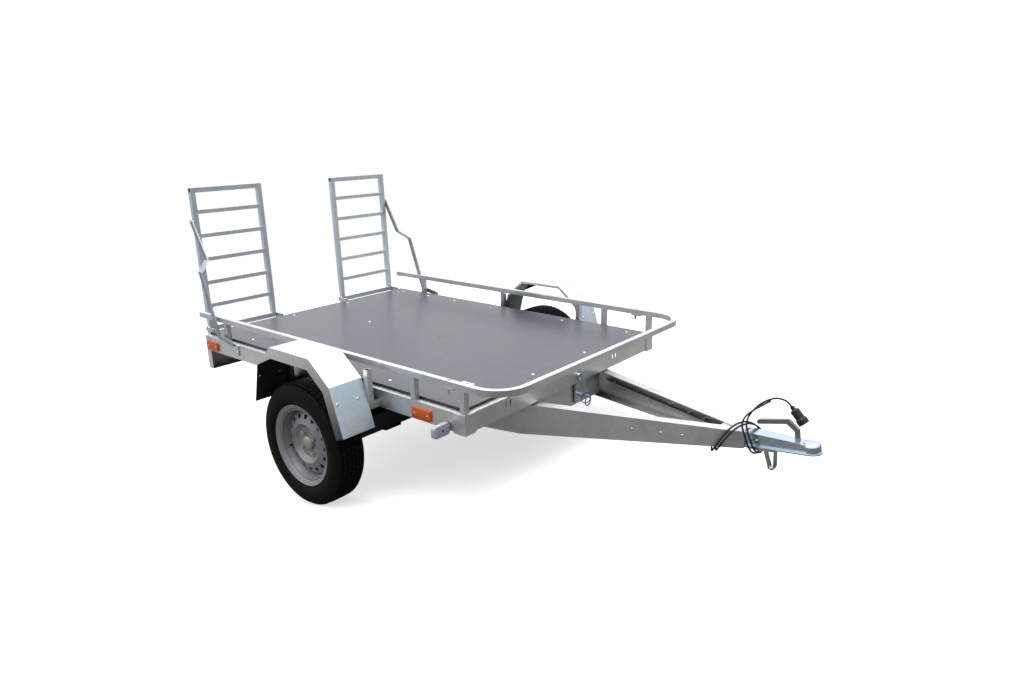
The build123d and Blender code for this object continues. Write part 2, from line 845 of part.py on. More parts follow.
# Mudguards: sheet folded at four lines, with a small inner lip. The outer lip is deep,
# and runs out to nothing along the rear slope, so the rear flap is plain.
lip_top = guard_folds[2:]
lip_corner = (guard_folds[2][0], guard_folds[2][1] - guard_lip)
with BuildPart() as guard:
    for start, width, depth, folds in (
        (guard_inner, guard_width, guard_sheet, guard_folds),
        (guard_inner, guard_sheet, guard_inner_lip, guard_folds),
        (guard_inner + guard_width - guard_sheet, guard_sheet, guard_lip, lip_top),
    ):
        with BuildSketch(Plane.XZ.offset(start)):
            with BuildLine():
                Polyline(*folds)
                offset(amount=depth, side=Side.RIGHT)
            make_face()
        extrude(amount=width)
    with BuildSketch(Plane.XZ.offset(guard_inner + guard_width - guard_sheet)):
        with BuildLine():
            Polyline(guard_folds[1], guard_folds[2], lip_corner, close=True)
        make_face()
    extrude(amount=guard_sheet)
finish(guard.part, "mudguard_right")
mirrored(guard.part, "mudguard_left")

# Mudguard stays: upright square tubes, each on a short tube from the side beam
stay_line = guard_inner - fit_gap - rail_tube / 2
with BuildPart() as guard_stays:
    with BuildSketch(Plane.XY.offset(stay_bottom)):
        with Locations(*[(place, -stay_line) for place in stay_places]):
            Rectangle(rail_tube, rail_tube)
            Rectangle(rail_tube - 2 * rail_wall, rail_tube - 2 * rail_wall, mode=Mode.SUBTRACT)
    extrude(amount=stay_top - stay_bottom)
    with BuildSketch(Plane.XZ.offset(bed_half_width)):
        with Locations(*[(place, stay_bottom + rail_tube / 2) for place in stay_places]):
            Rectangle(rail_tube, rail_tube)
            Rectangle(rail_tube - 2 * rail_wall, rail_tube - 2 * rail_wall, mode=Mode.SUBTRACT)
    extrude(amount=stay_line - rail_tube / 2 - bed_half_width)
    mirror(about=Plane.XZ)
finish(guard_stays.part, "mudguard_stays")

# Rear lamp board: folded sheet hung under the rear beam, open at the front
with BuildPart() as board:
    with BuildSketch(Plane.XY.offset(board_bottom)):
        with Locations((bed_rear + board_depth / 2, 0)):
            Rectangle(board_depth, 2 * bed_half_width)
    extrude(amount=beam_bottom - board_bottom)
    with BuildSketch(Plane.XY.offset(board_bottom + board_sheet)):
        with Locations((bed_rear + board_sheet + board_depth / 2, 0)):
            Rectangle(board_depth, 2 * (bed_half_width - board_sheet))
    extrude(amount=beam_bottom - board_bottom, mode=Mode.SUBTRACT)
finish(board.part, "rear_lamp_board")

# Tail lamps on the board
with BuildPart() as tail_lamps:
    with BuildSketch(across(bed_rear)):
        with Locations(*[(side * tail_lamp_place, (board_bottom + beam_bottom) / 2) for side in (-1, 1)]):
            RectangleRounded(tail_lamp_length, tail_lamp_height, tail_lamp_corner)
    extrude(amount=-tail_lamp_depth)
finish(tail_lamps.part, "tail_lamps")

# Amber side reflectors on the side beams
with BuildPart() as reflectors:
    with BuildSketch(Plane.XZ.offset(bed_half_width)):
        with Locations(*[(place, reflector_z) for place in reflector_places]):
            RectangleRounded(reflector_length, reflector_height, reflector_corner)
    extrude(amount=reflector_depth)
    mirror(about=Plane.XZ)
finish(reflectors.part, "side_reflectors")

# Front marker lamps, held out from the side beams on short arms
marker_inner = bed_half_width + marker_gap
with BuildPart() as markers:
    with BuildSketch(across(marker_front)):
        with Locations((-marker_inner - marker_length / 2, marker_z)):
            RectangleRounded(marker_length, marker_height, marker_corner)
    extrude(amount=-marker_depth)
    mirror(about=Plane.XZ)
finish(markers.part, "marker_lamps")

with BuildPart() as marker_arms:
    with BuildSketch(across(marker_front - marker_depth)):
        with Locations((-bed_half_width - (marker_gap + marker_arm_overlap) / 2, marker_z)):
            Rectangle(marker_gap + marker_arm_overlap, marker_arm_height)
    extrude(amount=-marker_arm_plate)
    mirror(about=Plane.XZ)
finish(marker_arms.part, "marker_arms")

# Tilt pivot lugs under the bed
with BuildPart() as pivot_lugs:
    with BuildSketch(Plane.XZ.offset(-lug_place)):
        with BuildLine():
            edge = Polyline(
                (pivot_x - lug_half_width, pivot_z),
                (pivot_x - lug_half_width, member_top - member_height),
                (pivot_x + lug_half_width, member_top - member_height),
                (pivot_x + lug_half_width, pivot_z),
            )
            ThreePointArc(edge @ 1, (pivot_x, pivot_z - lug_half_width), edge @ 0)
        make_face()
        with Locations((pivot_x, pivot_z)):
            Circle(pivot_radius + running_clearance, mode=Mode.SUBTRACT)
    extrude(amount=-lug_plate)
    mirror(about=Plane.XZ)
finish(pivot_lugs.part, "pivot_lugs")

# Ramp lugs with hinge pins, on the rear beam
with BuildPart() as ramp_lugs:
    for plate_start, pin_way in (
        (ramp_outer + ramp_lug_gap, -1),
        (ramp_inner - ramp_lug_gap - ramp_lug_plate, 1),
    ):
        with BuildSketch(Plane.XZ.offset(plate_start)):
            with Locations(((bed_rear + ramp_hinge_x) / 2, ramp_hinge_z + ramp_lug_rise - ramp_lug_height / 2)):
                Rectangle(bed_rear - ramp_hinge_x, ramp_lug_height)
            with Locations((ramp_hinge_x, ramp_hinge_z)):
                Circle(ramp_lug_round)
        extrude(amount=ramp_lug_plate)
        with BuildSketch(Plane.XZ.offset(plate_start + (ramp_lug_plate if pin_way > 0 else 0))):
            with Locations((ramp_hinge_x, ramp_hinge_z)):
                Circle(ramp_tube / 2 - ramp_wall - running_clearance)
        extrude(amount=pin_way * hinge_pin_reach)
    mirror(about=Plane.XZ)
finish(ramp_lugs.part, "ramp_lugs")

# Ramps: ladder frames of square tube, leaning back a little from the hinge.
# The stiles and rungs are hollow, and open into the end bars, whose ends are open.
lean = math.radians(ramp_lean)
ramp_face = Plane(
    origin=(ramp_hinge_x, 0, ramp_hinge_z),
    x_dir=(0, 1, 0),
    z_dir=(math.cos(lean), 0, math.sin(lean)),
)
ramp_middle = -(ramp_outer + ramp_inner) / 2
ramp_bore = ramp_tube - 2 * ramp_wall
rung_bore = rung_size - 2 * rung_wall
bar_span = ramp_length - ramp_tube / 2
rung_pitch = ramp_length / (rung_count + 1)
bars = [(ramp_middle, 0), (ramp_middle, bar_span)]
stiles = [(-ramp_outer + ramp_tube / 2, bar_span / 2), (-ramp_inner - ramp_tube / 2, bar_span / 2)]
rungs = [(ramp_middle, step * rung_pitch) for step in range(1, rung_count + 1)]
bolt_x = ramp_hinge_x - stay_bolt_height * math.sin(lean)
bolt_z = ramp_hinge_z + stay_bolt_height * math.cos(lean)
with BuildPart() as ramp:
    with BuildSketch(ramp_face):
        with Locations(*bars):
            Rectangle(ramp_width, ramp_tube)
        with Locations(*stiles):
            Rectangle(ramp_tube, bar_span)
    extrude(amount=ramp_tube / 2, both=True)
    with BuildSketch(ramp_face):
        with Locations(*rungs):
            Rectangle(ramp_width - 2 * ramp_tube, rung_size)
    extrude(amount=rung_size / 2, both=True)
    with BuildSketch(ramp_face):
        with Locations(*bars):
            Rectangle(ramp_width, ramp_bore)
        with Locations(*stiles):
            Rectangle(ramp_bore, bar_span)
    extrude(amount=ramp_bore / 2, both=True, mode=Mode.SUBTRACT)
    with BuildSketch(ramp_face):
        with Locations(*rungs):
            Rectangle(ramp_width - ramp_tube, rung_bore)
    extrude(amount=rung_bore / 2, both=True, mode=Mode.SUBTRACT)
    with BuildSketch(Plane.XZ.offset(ramp_outer)):
        with Locations((bolt_x, bolt_z)):
            Circle(stay_bolt_radius)
    extrude(amount=stay_inner - ramp_outer + stay_thickness + stay_bolt_reach)
finish(ramp.part, "ramp_right")
mirrored(ramp.part, "ramp_left")

# Ramp stays: flat bars bent outwards to pass the side rail
with BuildPart() as stay:
    with BuildSketch(Plane.XZ.offset(stay_inner)):
        with BuildLine():
            Polyline((bolt_x, bolt_z), *stay_bends)
        trace(line_width=stay_bar)
        with Locations((bolt_x, bolt_z), stay_bends[-1]):
            Circle(stay_bar / 2)
        with Locations((bolt_x, bolt_z)):
            Circle(stay_bolt_radius + running_clearance, mode=Mode.SUBTRACT)
    extrude(amount=stay_outer + stay_thickness - stay_inner)
    upper = stay_bends[0][1]
    lower = stay_bends[1][1]
    end = stay_bends[-1][1] - stay_bar
    knee = stay_thickness * math.tan(math.atan2(stay_outer - stay_inner, upper - lower) / 2)
    with BuildSketch(across(bolt_x - stay_bar)):
        with BuildLine():
            Polyline(
                (-stay_inner, bolt_z + stay_bar),
                (-stay_inner, upper),
                (-stay_outer, lower),
                (-stay_outer, end),
                (-stay_outer - stay_thickness, end),
                (-stay_outer - stay_thickness, lower + knee),
                (-stay_inner - stay_thickness, upper + knee),
                (-stay_inner - stay_thickness, bolt_z + stay_bar),
                close=True,
            )
        make_face()
    extrude(amount=stay_bends[-1][0] - bolt_x + 2 * stay_bar, mode=Mode.INTERSECT)
finish(stay.part, "ramp_stay_right")
mirrored(stay.part, "ramp_stay_left")

# Stay brackets on the side beams, each with the stub of its hook pin
with BuildPart() as stay_brackets:
    with BuildSketch(Plane.XZ.offset(bed_half_width)):
        with Locations((stay_bends[-1][0], beam_top - bracket_half)):
            RectangleRounded(2 * bracket_half, 2 * bracket_half, bracket_corner)
    extrude(amount=bracket_plate)
    with BuildSketch(Plane.XZ.offset(bed_half_width + bracket_plate)):
        with Locations(stay_bends[-1]):
            Circle(stay_bolt_radius)
    extrude(amount=stay_outer - bed_half_width - bracket_plate - fit_gap)
    mirror(about=Plane.XZ)
finish(stay_brackets.part, "stay_brackets")

# Bed lock: a tab on the front beam, and its pin drawn back clear of the cross member
tab_rear = cross_front + lock_stand_off
with BuildPart() as lock_tab:
    with BuildSketch(across(tab_rear)):
        with Locations((lock_place, (lock_tab_bottom + beam_bottom) / 2)):
            Rectangle(lock_tab_width, beam_bottom - lock_tab_bottom)
        with Locations((lock_place, lock_pin_z)):
            Circle(lock_pin_radius + running_clearance, mode=Mode.SUBTRACT)
    extrude(amount=lock_tab_plate)
finish(lock_tab.part, "lock_tab")

with BuildPart() as lock_pin:
    with BuildSketch(across(tab_rear)):
        with Locations((lock_place, lock_pin_z)):
            Circle(lock_pin_radius)
    extrude(amount=lock_pin_length)
    ring_plane = across(tab_rear + lock_pin_length - lock_ring_inset)
    with BuildSketch(ring_plane):
        with Locations((lock_place, lock_pin_z - lock_pin_radius - lock_ring_radius + lock_ring_sink)):
            Circle(lock_ring_radius + lock_ring_wire)
            Circle(lock_ring_radius - lock_ring_wire, mode=Mode.SUBTRACT)
    extrude(amount=lock_ring_wire, both=True)
finish(lock_pin.part, "lock_pin")

# Lamp cable, clipped along the inside of the left arm's web
cable_drop = arm_wall + cable_off_web + cable_diameter / 2


def cable_line(x):
    """Point on the clipped cable's middle at x."""
    return (x, arm_web(x) - cable_drop / math.cos(arm_angle), cable_z)


cable_plane = Plane(
    origin=cable_line(cable_start),
    x_dir=(math.sin(arm_angle), math.cos(arm_angle), 0),
    z_dir=(math.cos(arm_angle), -math.sin(arm_angle), 0),
)
cable_run = (cable_end - cable_start) / math.cos(arm_angle)
with BuildPart() as lamp_cable:
    with BuildSketch(cable_plane):
        Circle(cable_diameter / 2)
    extrude(amount=cable_run)
finish(lamp_cable.part, "lamp_cable")

# Clips: saddles on the web, each round the cable
with BuildPart() as clips:
    for place in clip_places:
        clip_plane = Plane(origin=cable_line(place), x_dir=cable_plane.x_dir, z_dir=cable_plane.z_dir)
        with BuildSketch(clip_plane):
            with Locations((cable_off_web / 2, 0)):
                Rectangle(cable_diameter + cable_off_web, cable_diameter + 2 * clip_wall)
            Circle(cable_diameter / 2 + running_clearance, mode=Mode.SUBTRACT)
        extrude(amount=clip_length / 2, both=True)
finish(clips.part, "cable_clips")

# Free cables: twins, wound together round the drawbar's nose and raised to the plug
loop_points = [cable_line(cable_end + joint_gap), cable_line(cable_end + cable_lead)]
loop_points += [(arm_nose + ahead, y, z) for ahead, y, z in loop_bends]
twin_points = [(arm_nose + ahead, y, z) for ahead, y, z in twin_bends]
for label, points in (("cable_loop", loop_points), ("cable_twin", twin_points)):
    radii = []
    for before, corner, after in zip(points, points[1:], points[2:]):
        run_in = Vector(*corner) - Vector(*before)
        run_out = Vector(*after) - Vector(*corner)
        half_turn = math.radians(run_in.get_angle(run_out)) / 2
        radii.append(0.45 * min(run_in.length, run_out.length) / math.tan(half_turn))
    with BuildPart() as cable:
        with BuildLine() as path:
            FilletPolyline(*points, radius=radii)
        with BuildSketch(Plane(origin=points[0], z_dir=Vector(*points[1]) - Vector(*points[0]))):
            Circle(cable_diameter / 2)
        sweep(path=path.line)
    finish(cable.part, label)
    length = sum(edge.length for edge in path.line.edges())
    tube = math.pi * cable_diameter**2 / 4 * length
    print(label, "radii", [round(radius) for radius in radii])
    print(f"length {length:.0f}, volume {cable.part.volume:.0f}, section by length {tube:.0f}")

# Plug for the towing vehicle's socket, with its gland, grip and skirt
plug_plane = Plane(origin=loop_points[-1], z_dir=Vector(*loop_points[-1]) - Vector(*loop_points[-2]))
skirt_start = gland_length + plug_length
with BuildPart() as plug:
    with BuildSketch(Plane(plug_plane.origin, x_dir=plug_plane.x_dir, z_dir=-plug_plane.y_dir)):
        with BuildLine():
            Polyline(
                (0, joint_gap),
                (gland_radius, joint_gap),
                (gland_radius, gland_length),
                (plug_radius, gland_length + plug_shoulder),
                (plug_radius, skirt_start),
                (skirt_radius, skirt_start + skirt_wall),
                (skirt_radius, skirt_start + skirt_length),
                (skirt_radius - skirt_wall, skirt_start + skirt_length),
                (skirt_radius - skirt_wall, skirt_start + skirt_floor),
                (0, skirt_start + skirt_floor),
                close=True,
            )
        make_face()
    revolve(axis=Axis(plug_plane.origin, plug_plane.z_dir))
finish(plug.part, "plug")

# The parked trailer rests on its wheels and on the foot's bend, so the two arcs share one ground line
foot_rise = math.hypot(foot_place, foot_centre_z - wheel_z)
foot_slope = math.atan2(foot_centre_z - wheel_z, foot_place)
pitch = math.degrees(foot_slope + math.asin((tyre_radius - foot_bend) / foot_rise))
parked = Rot(0, pitch, 0)
boxes = [(parked * piece).bounding_box() for piece in pieces]
middle_x = (min(box.min.X for box in boxes) + max(box.max.X for box in boxes)) / 2
lowest_z = min(box.min.Z for box in boxes)
home = Pos(-middle_x, 0, -lowest_z) * parked
os.makedirs("parts", exist_ok=True)
for piece in pieces:
    placed = home * piece
    placed.label = piece.label
    export_step(placed, f"parts/{piece.label}.step")
print(f"pitch {pitch:.4f} degrees, shift {-middle_x:.3f}, {-lowest_z:.3f}")
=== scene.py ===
import json
import math

import bmesh
import bpy
from mathutils import Matrix, Vector


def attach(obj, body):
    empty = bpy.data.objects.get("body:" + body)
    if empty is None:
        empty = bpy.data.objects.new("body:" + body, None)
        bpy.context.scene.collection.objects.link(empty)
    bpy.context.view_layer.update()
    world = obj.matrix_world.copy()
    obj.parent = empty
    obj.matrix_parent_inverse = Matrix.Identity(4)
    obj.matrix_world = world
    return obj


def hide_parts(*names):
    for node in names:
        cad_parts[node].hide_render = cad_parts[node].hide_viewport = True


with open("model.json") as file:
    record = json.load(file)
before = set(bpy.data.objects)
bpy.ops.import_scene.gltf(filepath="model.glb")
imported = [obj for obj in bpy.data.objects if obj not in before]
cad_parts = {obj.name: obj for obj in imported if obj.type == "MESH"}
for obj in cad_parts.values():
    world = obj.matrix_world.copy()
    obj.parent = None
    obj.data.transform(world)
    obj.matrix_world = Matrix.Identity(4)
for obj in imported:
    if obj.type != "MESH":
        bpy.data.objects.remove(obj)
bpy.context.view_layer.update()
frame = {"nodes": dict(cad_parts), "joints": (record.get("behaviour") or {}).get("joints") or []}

# Camera: the photograph's own place and lens, found from the frame's corners in it.
# It stands ahead of the trailer on its near side, a little above the deck.
camera_place = (2.37554, -2.57443, 1.06687)
camera_turn = (81.1584, 9.3984, 40.2401)
camera_lens = 25.927
camera_reach = 200
camera = bpy.data.objects.new("camera", bpy.data.cameras.new("camera"))
camera.location = camera_place
camera.rotation_euler = [math.radians(angle) for angle in camera_turn]
camera.data.lens = camera_lens
camera.data.clip_end = camera_reach
bpy.context.scene.collection.objects.link(camera)
bpy.context.scene.camera = camera
bpy.context.scene.view_settings.view_transform = "Standard"


# Lamp cable: two black rubber cables, free from the last clip on the arm. They are wound together
# round the drawbar's nose, become one and stand up in a bow to the plug. Points are level metres.
cable_diameter = 0.0075
cable_points = (
    (1.4303, 0.0759, 0.416), (1.456, 0.0674, 0.416), (1.478, 0.034, 0.408), (1.488, 0.0, 0.38),
    (1.506, -0.046, 0.362), (1.528, -0.084, 0.384), (1.552, -0.079, 0.43), (1.577, -0.054, 0.471),
    (1.606, -0.01, 0.49), (1.634, 0.036, 0.472), (1.659, 0.058, 0.43), (1.67, 0.038, 0.39),
    (1.666, -0.014, 0.38), (1.66, -0.058, 0.408), (1.64, -0.06, 0.456), (1.617, -0.046, 0.5),
    (1.621, -0.02, 0.535), (1.643, -0.004, 0.568), (1.675, 0.0, 0.595), (1.706, 0.0, 0.611),
    (1.734, 0.0, 0.611), (1.753, 0.0, 0.603), (1.764, 0.0, 0.591),
)
twin_points = (
    (1.432, 0.0705, 0.4098), (1.449, 0.058, 0.403), (1.462, 0.032, 0.394), (1.472, 0.0, 0.372),
    (1.49, -0.048, 0.356), (1.512, -0.086, 0.378), (1.537, -0.082, 0.428), (1.562, -0.056, 0.474),
    (1.592, -0.012, 0.495), (1.621, 0.036, 0.478), (1.646, 0.062, 0.432), (1.657, 0.04, 0.388),
    (1.653, -0.014, 0.374), (1.646, -0.062, 0.404), (1.626, -0.066, 0.456), (1.603, -0.054, 0.5),
    (1.612, -0.034, 0.53), (1.634, -0.02, 0.552), (1.662, -0.01, 0.575), (1.69, -0.0055, 0.597),
)

# The trailer is drawn level, in millimetres, with the wheels' axis over X = 0, as in its CAD source,
# and stands parked with its nose down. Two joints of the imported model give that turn.
wheel_z = 273.0
pivot_x, pivot_z = -330.0, 420.0
joint_at = {joint["name"]: Vector(joint["pos_m"]) for joint in frame["joints"]}
hub_at = joint_at["wheel_right_spin"]
to_pivot = joint_at["bed_tilt"] - hub_at
pitch = math.atan2(pivot_z - wheel_z, pivot_x) - math.atan2(to_pivot.z, to_pivot.x)
parked = (
    Matrix.Translation((hub_at.x, 0, hub_at.z))
    @ Matrix.Rotation(pitch, 4, "Y")
    @ Matrix.Scale(0.001, 4)
    @ Matrix.Translation((0, 0, -wheel_z))
)


def linear(code):
    """A colour given as sRGB hex, in linear light with alpha."""
    parts = [int(code[i:i + 2], 16) / 255 for i in (0, 2, 4)]
    return [p / 12.92 if p <= 0.04045 else ((p + 0.055) / 1.055) ** 2.4 for p in parts] + [1.0]


def add(tree, kind, inputs=None, **settings):
    """Adds one node: settings go on the node, inputs are values or sockets to link from."""
    made = tree.nodes.new(kind)
    for key, value in settings.items():
        setattr(made, key, value)
    for key, value in (inputs or {}).items():
        if isinstance(value, bpy.types.NodeSocket):
            tree.links.new(value, made.inputs[key])
        else:
            made.inputs[key].default_value = value
    return made


def material(name, **shader):
    """A material and its tree, with a Principled shader and real-size coordinates in metres."""
    made = bpy.data.materials.new(name)
    made.use_nodes = True
    tree = made.node_tree
    tree.nodes.clear()
    settings = {key.replace("_", " "): value for key, value in shader.items()}
    skin = add(tree, "ShaderNodeBsdfPrincipled", settings)
    add(tree, "ShaderNodeOutputMaterial", {"Surface": skin.outputs[0]})
    place = add(tree, "ShaderNodeTexCoord").outputs["Object"]
    return made, tree, skin, place


def mottle(tree, place, size, dark, light):
    """Noise of a given size in metres as a colour ramp between two hex colours."""
    noise = add(tree, "ShaderNodeTexNoise", {"Vector": place, "Scale": 1 / size, "Detail": 3.0})
    ramp = add(tree, "ShaderNodeValToRGB", {"Fac": noise.outputs["Fac"]})
    ramp.color_ramp.elements[0].position = 0.35
    ramp.color_ramp.elements[1].position = 0.65
    ramp.color_ramp.elements[0].color = linear(dark)
    ramp.color_ramp.elements[1].color = linear(light)
    return ramp.outputs["Color"], noise.outputs["Fac"]


def bump(tree, skin, height, strength, distance):
    """Fine relief on a shader from a height socket; distance is in metres."""
    relief = add(tree, "ShaderNodeBump", {"Height": height, "Strength": strength, "Distance": distance})
    tree.links.new(relief.outputs["Normal"], skin.inputs["Normal"])


cable_rubber, tree, skin, place = material("cable rubber", Roughness=0.5)
colour, grain = mottle(tree, place, 0.004, "0E0E10", "17171A")
tree.links.new(colour, skin.inputs["Base Color"])
bump(tree, skin, grain, 0.1, 0.0004)


def cable_curve(name, points, node):
    """A round cable along level points, in place of its CAD tube."""
    curve = bpy.data.curves.new(name, "CURVE")
    curve.dimensions = "3D"
    curve.bevel_depth = cable_diameter / 2
    curve.bevel_resolution = 5
    curve.resolution_u = 10
    line = curve.splines.new("NURBS")
    line.points.add(len(points) - 1)
    for point, spot in zip(line.points, points):
        point.co = (*(parked @ (Vector(spot) * 1000)), 1)
    line.order_u = 3
    line.use_endpoint_u = True
    curve.materials.append(cable_rubber)
    made = bpy.data.objects.new(name, curve)
    bpy.context.scene.collection.objects.link(made)
    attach(made, "chassis")
    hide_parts(node)
    return made, parked @ (Vector(points[0]) * 1000)


cable, leaves = cable_curve("cable", cable_points, "cable_loop")
twin, leaves = cable_curve("twin_cable", twin_points, "cable_twin")


# Floor and light: a pale seamless floor, a broad lamp overhead and an overcast sky, brightest overhead.
# The camera sees floor and sky as white; the metal mirrors a dark yard, darkest by the drawbar.
yard_dark, yard_light = "4A4842", "A0A09A"
yard_slant = -0.7
yard_from, yard_to = -2.0, 2.0
floor_size = 30.0
floor_glow = 0.62
sky_near, sky_low, sky_mid, sky_high = 0.18, 0.48, 1.15, 2.1
sky_break = 0.35
near_from, near_to = -0.9, -0.1
lamp_size = 5.0
lamp_place = (0.4, -0.6, 6.0)
lamp_power = 260.0
floor_mesh = bpy.data.meshes.new("floor")
half = floor_size / 2
corners = [(-half, -half, 0), (half, -half, 0), (half, half, 0), (-half, half, 0)]
floor_mesh.from_pydata(corners, [], [(0, 1, 2, 3)])
floor = bpy.data.objects.new("floor", floor_mesh)
bpy.context.scene.collection.objects.link(floor)
ground = bpy.data.materials.new("ground")
ground.use_nodes = True
tree = ground.node_tree
tree.nodes.clear()
seen = add(tree, "ShaderNodeLightPath").outputs["Is Camera Ray"]
place = add(tree, "ShaderNodeTexCoord").outputs["Object"]
spot = add(tree, "ShaderNodeSeparateXYZ", {0: place}).outputs
across = add(tree, "ShaderNodeMath", {0: spot["Y"], 1: yard_slant}, operation="MULTIPLY").outputs[0]
along = add(tree, "ShaderNodeMath", {0: spot["X"], 1: across}, operation="ADD").outputs[0]
limits = {"Value": along, "From Min": yard_from, "From Max": yard_to}
share = add(tree, "ShaderNodeMapRange", limits).outputs[0]
tones = {"Factor": share, "A": linear(yard_light), "B": linear(yard_dark)}
yard = add(tree, "ShaderNodeMix", tones, data_type="RGBA")
dull = add(tree, "ShaderNodeBsdfDiffuse", {"Color": yard.outputs["Result"]})
pale = add(tree, "ShaderNodeBsdfDiffuse", {"Color": linear("C8C8C8")})
glow = add(tree, "ShaderNodeEmission", {"Strength": floor_glow})
white = add(tree, "ShaderNodeAddShader", {0: pale.outputs[0], 1: glow.outputs[0]})
both = add(tree, "ShaderNodeMixShader", {0: seen, 1: dull.outputs[0], 2: white.outputs[0]})
add(tree, "ShaderNodeOutputMaterial", {"Surface": both.outputs[0]})
floor_mesh.materials.append(ground)

world = bpy.data.worlds.new("sky")
world.use_nodes = True
bpy.context.scene.world = world
tree = world.node_tree
tree.nodes.clear()
ray = add(tree, "ShaderNodeTexCoord").outputs["Generated"]
aim = add(tree, "ShaderNodeSeparateXYZ", {0: ray}).outputs
height = aim["Z"]
edge = add(tree, "ShaderNodeMapRange", {"Value": aim["Y"], "From Min": near_from, "From Max": near_to,
                                        "To Min": sky_near, "To Max": sky_low}).outputs[0]
low = add(tree, "ShaderNodeMapRange", {"Value": height, "From Min": 0.0, "From Max": sky_break,
                                       "To Min": edge, "To Max": sky_mid}).outputs[0]
high = add(tree, "ShaderNodeMapRange", {"Value": height, "From Min": sky_break, "From Max": 1.0,
                                        "To Min": 0.0, "To Max": sky_high - sky_mid}).outputs[0]
bright = add(tree, "ShaderNodeMath", {0: low, 1: high}, operation="ADD").outputs[0]
haze = add(tree, "ShaderNodeMapRange", {"Value": height, "From Min": 0.0, "From Max": sky_break}).outputs[0]
tones = {"Factor": haze, "A": linear("CFE2F6"), "B": linear("F4F6FA")}
tint = add(tree, "ShaderNodeMix", tones, data_type="RGBA")
sky = add(tree, "ShaderNodeBackground", {"Color": tint.outputs["Result"], "Strength": bright})
plain = add(tree, "ShaderNodeBackground", {"Color": linear("FFFFFF"), "Strength": 1.0})
seen = add(tree, "ShaderNodeLightPath").outputs["Is Camera Ray"]
both = add(tree, "ShaderNodeMixShader", {0: seen, 1: sky.outputs[0], 2: plain.outputs[0]})
add(tree, "ShaderNodeOutputWorld", {"Surface": both.outputs[0]})

lamp = bpy.data.objects.new("lamp", bpy.data.lights.new("lamp", "AREA"))
lamp.data.size = lamp_size
lamp.data.energy = lamp_power
lamp.location = lamp_place
bpy.context.scene.collection.objects.link(lamp)


# Galvanised steel: channels, square tubes and folded sheet dipped in zinc, a neutral pale grey
# with a faint spangle of crystals and soft clouds, with painted shade in its corners, beneath and round the
# wheels.
# The ramps are paler and their stays duller.
spangle_size = 0.012
cloud_size = 0.12
spangle_dark, spangle_light = 0.97, 1.03
rough_spread = 0.04
shade_reach = 0.25
shade_from, shade_to = 0.1, 0.6
wheel_shade_fade = 0.075
wheel_shade_level = 0.1
weld_gap = 0.00001
bevel_from = 50.0
nodes = frame["nodes"]


def zinc(name, dark, light, roughness, metal, corner_shade_level=0.2, wheel_shade=0.405):
    """Spangled zinc coating; the last two arguments set its painted shade in corners and its reach from a
    hub.
    """
    made, tree, skin, place = material(name, Metallic=metal)
    cells = add(tree, "ShaderNodeTexVoronoi", {"Vector": place, "Scale": 1 / spangle_size, "Randomness": 1.0})
    clouds, slow = mottle(tree, place, cloud_size, dark, light)
    facet = add(tree, "ShaderNodeSeparateXYZ", {0: cells.outputs["Color"]}).outputs["X"]
    limits = {"Value": facet, "To Min": spangle_dark, "To Max": spangle_light}
    tint = add(tree, "ShaderNodeMapRange", limits).outputs[0]
    # Painted shade: darker where ambient occlusion finds surfaces close by, in corners and beneath.
    open_sky = add(tree, "ShaderNodeAmbientOcclusion", {"Distance": shade_reach}, samples=4).outputs["AO"]
    corner_shade = add(tree, "ShaderNodeMapRange", {"Value": open_sky, "From Min": shade_from, "From Max": shade_to,
                                             "To Min": corner_shade_level, "To Max": 1.0}).outputs[0]
    # Painted shade: darker within a set reach of the wheels' axis, seen from the side.
    flat = add(tree, "ShaderNodeVectorMath", {0: place, 1: (1, 0, 1)}, operation="MULTIPLY").outputs[0]
    hub = (hub_at.x, 0, hub_at.z)
    away = add(tree, "ShaderNodeVectorMath", {0: flat, 1: hub}, operation="DISTANCE").outputs["Value"]
    hub_shade = add(tree, "ShaderNodeMapRange", {"Value": away, "From Min": wheel_shade - wheel_shade_fade, "From Max": wheel_shade,
                                              "To Min": wheel_shade_level, "To Max": 1.0}).outputs[0]
    painted_shade = add(tree, "ShaderNodeMath", {0: corner_shade, 1: hub_shade}, operation="MULTIPLY").outputs[0]
    level = add(tree, "ShaderNodeMath", {0: tint, 1: painted_shade}, operation="MULTIPLY").outputs[0]
    colour = add(tree, "ShaderNodeVectorMath", {0: clouds, 1: level}, operation="MULTIPLY").outputs[0]
    tree.links.new(colour, skin.inputs["Base Color"])
    limits = {"Value": facet, "To Min": roughness - rough_spread, "To Max": roughness + rough_spread}
    rough = add(tree, "ShaderNodeMapRange", limits)
    tree.links.new(rough.outputs[0], skin.inputs["Roughness"])
    bump(tree, skin, slow, 0.05, 0.002)
    return made


def dress(names, finish, rounding=0.0, smooth=35.0):
    """Gives CAD nodes their material, smooth curved faces and, where asked, rounded edges."""
    for name in names:
        piece = nodes[name]
        piece.data.materials.clear()
        piece.data.materials.append(finish)
        weld = piece.modifiers.new("weld", "WELD")
        weld.merge_threshold = weld_gap
        if rounding:
            edge = piece.modifiers.new("edge", "BEVEL")
            edge.width = rounding
            edge.segments = 2
            edge.limit_method = "ANGLE"
            edge.angle_limit = math.radians(bevel_from)
        piece.data.shade_smooth()
        split = piece.modifiers.new("split", "EDGE_SPLIT")
        split.split_angle = math.radians(smooth)


